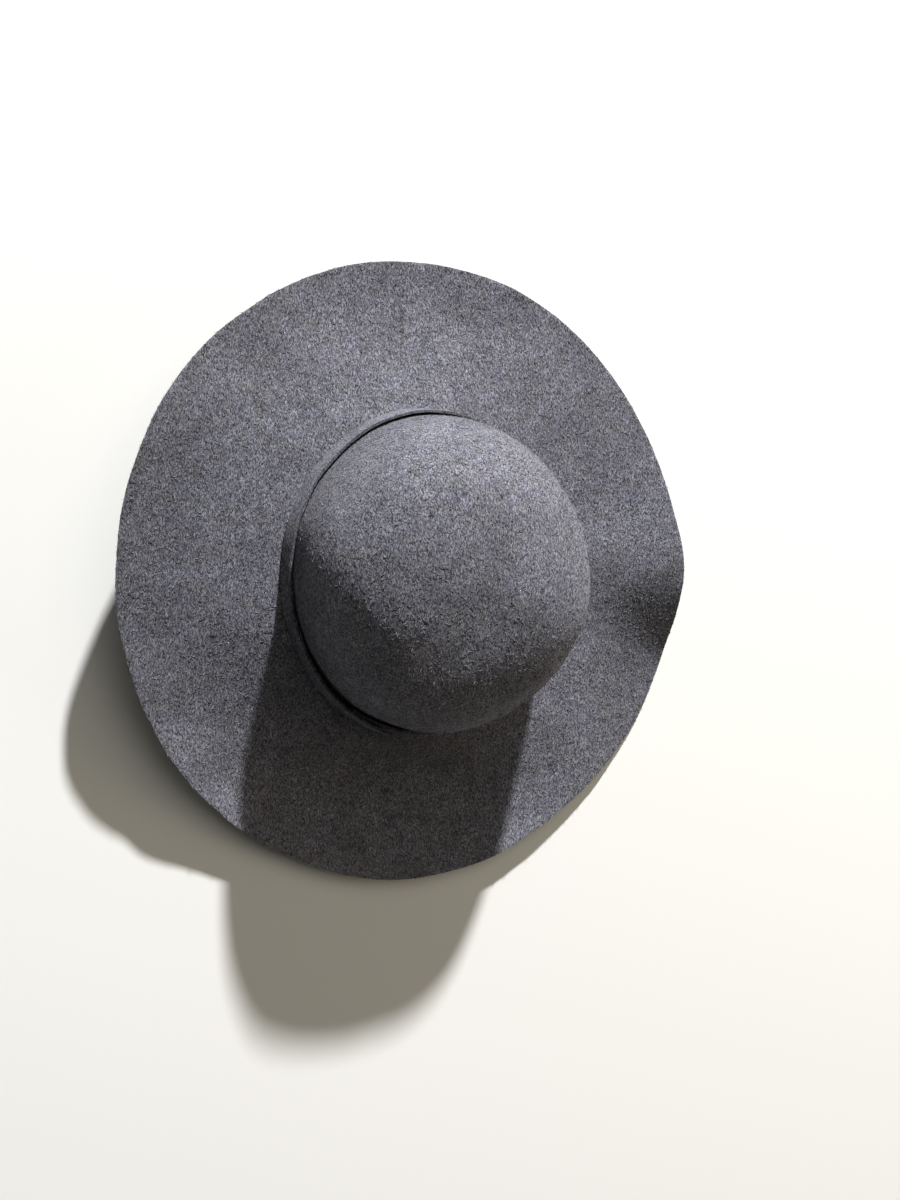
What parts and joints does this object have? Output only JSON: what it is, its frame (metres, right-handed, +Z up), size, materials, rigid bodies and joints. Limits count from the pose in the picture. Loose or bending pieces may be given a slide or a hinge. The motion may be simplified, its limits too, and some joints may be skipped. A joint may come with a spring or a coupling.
{
  "type": "floppy hat",
  "caption": "Soft felt hat with a round open crown and a wide wavy brim, with a narrow strip of the same felt round the crown as its band; it rests on its brim.",
  "frame": {"origin": "on the surface that the hat rests on, under the middle of the whole hat as seen from above", "axes": "+Z up, -Y towards the hat's front, +X towards the wearer's left"},
  "size_m": [0.3824, 0.403, 0.1236],
  "materials": {
    "felt": "matt grey melange wool felt, brushed, with a raw cut edge",
    "band_felt": "matt grey melange wool felt strip with raw cut edges"
  },
  "bodies": {
    "root": {"crown_and_brim": "felt", "hat_band": "band_felt"}
  },
  "joints": []
}
